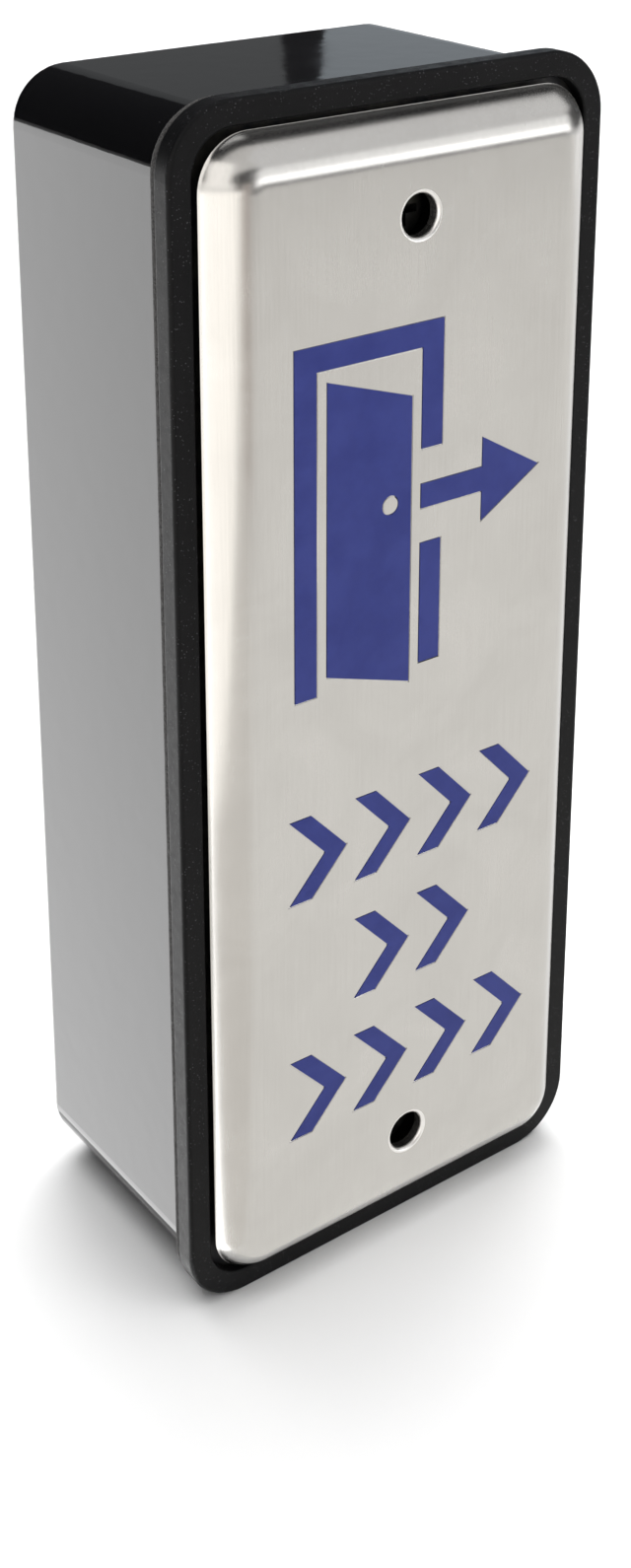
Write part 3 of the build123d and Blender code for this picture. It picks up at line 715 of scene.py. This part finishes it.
def return_springs(material):
    """Four coil springs round the guide pins, built at one fixed length on the housing."""
    pins_low, pins_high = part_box("guide_pins")
    half_pin = (pins_high.x - pins_low.x) / 2 / mm
    guide_x = half_pin - pin_dia / 2
    guide_z = (pins_high.z - pins_low.z) / 2 / mm - pin_dia / 2
    low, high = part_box("return_springs")
    seat, top = -high.y / mm, -low.y / mm
    for side_x in (-1, 1):
        for side_z in (-1, 1):
            name = f"return_spring_{'right' if side_x > 0 else 'left'}_{'upper' if side_z > 0 else 'lower'}"
            piece = new_object(name, coil(side_x * guide_x, side_z * guide_z, seat, top), material)
            smooth(piece, 60)
            piece.modifiers.clear()
            place_piece(piece, "housing", "spring_steel", "return_springs")
            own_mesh(piece)


def nodes_front(name):
    """The y of a node's frontmost point."""
    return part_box(name)[0].y


# ---------------------------------------------------------------- stage, lights and camera

def around(azimuth, elevation, distance):
    """A place round the object in metres. Azimuth 0 is straight in front, and 90 to the right."""
    flat = cos(radians(elevation)) * distance
    turn = radians(azimuth)
    return Vector((flat * sin(turn), -flat * cos(turn), distance * sin(radians(elevation))))


def stage_sheet(name, place, turn, width, height, material):
    """A flat sheet of the studio, facing along its own Z."""
    bm = bmesh.new()
    bmesh.ops.create_grid(bm, x_segments=1, y_segments=1, size=0.5)
    mesh = bpy.data.meshes.new(name)
    bm.to_mesh(mesh)
    bm.free()
    mesh.materials.append(material)
    sheet = bpy.data.objects.new(name, mesh)
    sheet.matrix_world = Matrix.Translation(place) @ turn @ Matrix.Diagonal((width, height, 1, 1))
    bpy.context.scene.collection.objects.link(sheet)
    return sheet


def floor():
    """A pale satin table top under the object."""
    material, _, shader = new_material("stage_white_satin")
    shader.inputs["Base Color"].default_value = (0.84, 0.84, 0.84, 1.0)
    shader.inputs["Roughness"].default_value = 0.42
    shader.inputs["IOR"].default_value = 1.5
    place = Vector((0, 0, floor_height))
    stage_sheet("stage_floor", place, Matrix.Identity(4), floor_size, floor_size, material)


def glow_material(name, glow, colour):
    """Light from the front of a card; its back lets everything through."""
    material = bpy.data.materials.new(name)
    material.use_nodes = True
    tree = material.node_tree
    tree.nodes.clear()
    emission = tree.nodes.new("ShaderNodeEmission")
    emission.inputs["Strength"].default_value = glow
    emission.inputs["Color"].default_value = (*colour, 1.0)
    clear = tree.nodes.new("ShaderNodeBsdfTransparent")
    side = tree.nodes.new("ShaderNodeNewGeometry")
    mix = tree.nodes.new("ShaderNodeMixShader")
    output = tree.nodes.new("ShaderNodeOutputMaterial")
    tree.links.new(side.outputs["Backfacing"], mix.inputs["Fac"])
    tree.links.new(emission.outputs["Emission"], mix.inputs[1])
    tree.links.new(clear.outputs["BSDF"], mix.inputs[2])
    tree.links.new(mix.outputs["Shader"], output.inputs["Surface"])
    return material


def show_only_to_camera(sheet):
    sheet.visible_glossy = False
    sheet.visible_diffuse = False
    sheet.visible_shadow = False
    sheet.visible_transmission = False


def show_only_in_gloss(sheet):
    sheet.visible_camera = False
    sheet.visible_diffuse = False
    sheet.visible_shadow = False
    sheet.visible_transmission = False


def standing_card(name, azimuth, elevation, distance, width, height, glow, colour=(1, 1, 1)):
    """A card that faces the object and shows only in reflections."""
    place = around(azimuth, elevation, distance)
    turn = (-place).to_track_quat("Z", "Y").to_matrix().to_4x4()
    material = glow_material(name + "_glow", glow, colour)
    show_only_in_gloss(stage_sheet(name, place, turn, width, height, material))


def lying_card(name, left, right, front, back, glow, colour=(1, 1, 1)):
    """A card on the table between two X and two Y places in metres. It shows only in reflections."""
    place = Vector(((left + right) / 2, (front + back) / 2, floor_height + card_lift))
    material = glow_material(name + "_glow", glow, colour)
    sheet = stage_sheet(name, place, Matrix.Identity(4), right - left, back - front, material)
    show_only_in_gloss(sheet)


def soft_light(name, azimuth, elevation, distance, width, height, power):
    """A softbox aimed at the object. The cards stand for it in reflections."""
    place = around(azimuth, elevation, distance)
    data = bpy.data.lights.new(name, "AREA")
    data.shape = "RECTANGLE"
    data.size = width
    data.size_y = height
    data.energy = power
    light = bpy.data.objects.new(name, data)
    turn = (-place).to_track_quat("-Z", "Y").to_matrix().to_4x4()
    light.matrix_world = Matrix.Translation(place) @ turn
    light.visible_camera = False
    light.visible_glossy = False
    bpy.context.scene.collection.objects.link(light)


def sky_light(power):
    """Even soft light from above over the whole table."""
    data = bpy.data.lights.new("sky_light", "SUN")
    data.energy = power
    data.angle = radians(sky_spread)
    light = bpy.data.objects.new("sky_light", data)
    light.visible_glossy = False
    bpy.context.scene.collection.objects.link(light)


def backdrop():
    """A pale dome round the studio that only the camera sees."""
    bm = bmesh.new()
    bmesh.ops.create_uvsphere(bm, u_segments=48, v_segments=24, radius=backdrop_radius)
    bmesh.ops.reverse_faces(bm, faces=bm.faces)
    mesh = bpy.data.meshes.new("stage_backdrop")
    bm.to_mesh(mesh)
    bm.free()
    mesh.materials.append(glow_material("stage_pale_backdrop", 0.86, (1.0, 1.0, 1.0)))
    dome = bpy.data.objects.new("stage_backdrop", mesh)
    bpy.context.scene.collection.objects.link(dome)
    show_only_to_camera(dome)


def room(glow, colour):
    """The dim studio beyond the lights."""
    world = bpy.data.worlds.new("studio_room")
    world.use_nodes = True
    back = world.node_tree.nodes["Background"]
    back.inputs["Color"].default_value = (*colour, 1.0)
    back.inputs["Strength"].default_value = glow
    bpy.context.scene.world = world


def camera():
    """Stands left of the object and looks down at it."""
    data = bpy.data.cameras.new("view")
    data.sensor_width = 36.0
    data.lens = camera_lens
    data.shift_y = camera_shift
    data.clip_start = 0.01
    piece = bpy.data.objects.new("view", data)
    heading = Matrix.Rotation(-radians(camera_azimuth), 4, "Z")
    tilt = Matrix.Rotation(radians(90 - camera_down), 4, "X")
    stand = Vector(camera_stand) * mm + Vector((0, nodes_front("bezel_frame"), 0))
    piece.matrix_world = Matrix.Translation(stand) @ heading @ tilt
    bpy.context.scene.collection.objects.link(piece)
    bpy.context.scene.camera = piece


def studio():
    floor()
    backdrop()
    room(0.02, (1.0, 1.0, 1.05))
    soft_light("back_softbox", 141, 50, 1.2, 0.9, 0.7, 8)
    soft_light("overhead_softbox", 150, 74, 1.4, 2.0, 2.0, 36)
    sky_light(0.9)
    soft_light("front_softbox", 20, 35, 1.4, 1.2, 0.9, 8)
    left, right = box_side
    lying_card("left_back_table", -0.90, left, box_front, 1.20, 3.1)
    lying_card("left_front_table", -1.60, left - 0.09, -1.60, box_front, 1.7, (1.0, 0.97, 0.92))
    lying_card("left_near_table", left - 0.09, left, -1.60, box_front, 0.88, (1.0, 0.97, 0.92))
    lying_card("right_table", right, 0.60, box_front, 0.60, 1.1)
    lying_card("near_table", left, 0.45, -0.20, box_front, 0.98, (1.0, 0.985, 0.95))
    lying_card("middle_table", left, 0.70, -0.50, -0.20, 0.93, (1.0, 0.985, 0.95))
    lying_card("far_table", left, 1.60, -1.60, -0.50, 0.20)
    standing_card("warm_card", -4, 0, 0.25, 0.06, 0.16, 0.55, (1.0, 0.88, 0.80))
    standing_card("horizon_card", 38, 3, 1.9, 1.3, 0.34, 2.7)
    standing_card("low_ceiling_card", 40, 15, 1.9, 1.5, 0.46, 1.35)
    standing_card("high_ceiling_card", 52, 38, 1.9, 1.8, 1.10, 0.85)
    standing_card("left_softbox_card", -55, 28, 1.4, 1.3, 1.1, 1.5, (1.0, 0.975, 0.94))
    standing_card("left_horizon_card", -58, 5, 1.6, 2.4, 0.5, 1.2, (1.0, 0.975, 0.94))
    standing_card("front_ceiling_card", 5, 50, 2.2, 3.4, 1.7, 0.75, (1.0, 0.985, 0.96))
    standing_card("back_right_card", 124.3, 15, 1.2, 0.78, 0.5, 0.50, (0.85, 0.93, 1.0))
    standing_card("back_left_card", 165.2, 15, 1.2, 0.90, 0.5, 0.16, (0.95, 0.98, 1.0))
    standing_card("top_card", 180, 82, 1.2, 0.9, 0.4, 0.8)


# Camera: where it stands from the middle of the bezel's front face, in mm, and where it looks
camera_stand = (-116.4, -144.6, 96.5)
camera_azimuth = 36.5
camera_down = 18.2
camera_lens = 49.2
camera_shift = -0.28

# Studio, in metres
floor_size = 8.0
floor_height = cad_box[0][2]
box_side = (cad_box[0][0], cad_box[1][0])
box_front = cad_box[0][1]
card_lift = 0.0005
backdrop_radius = 3.9
sky_spread = 120

plate_front = -nodes_front("push_plate") / mm
plate_edge = -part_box("push_plate")[1].y / mm

materials = slot_materials()
slots = node_slots()
finish_cad_nodes(materials, slots)
push_plate(materials["stainless"])
foam_gasket(materials["foam"])
return_springs(materials["spring_steel"])

studio()
camera()
bpy.context.scene.view_settings.view_transform = "Standard"
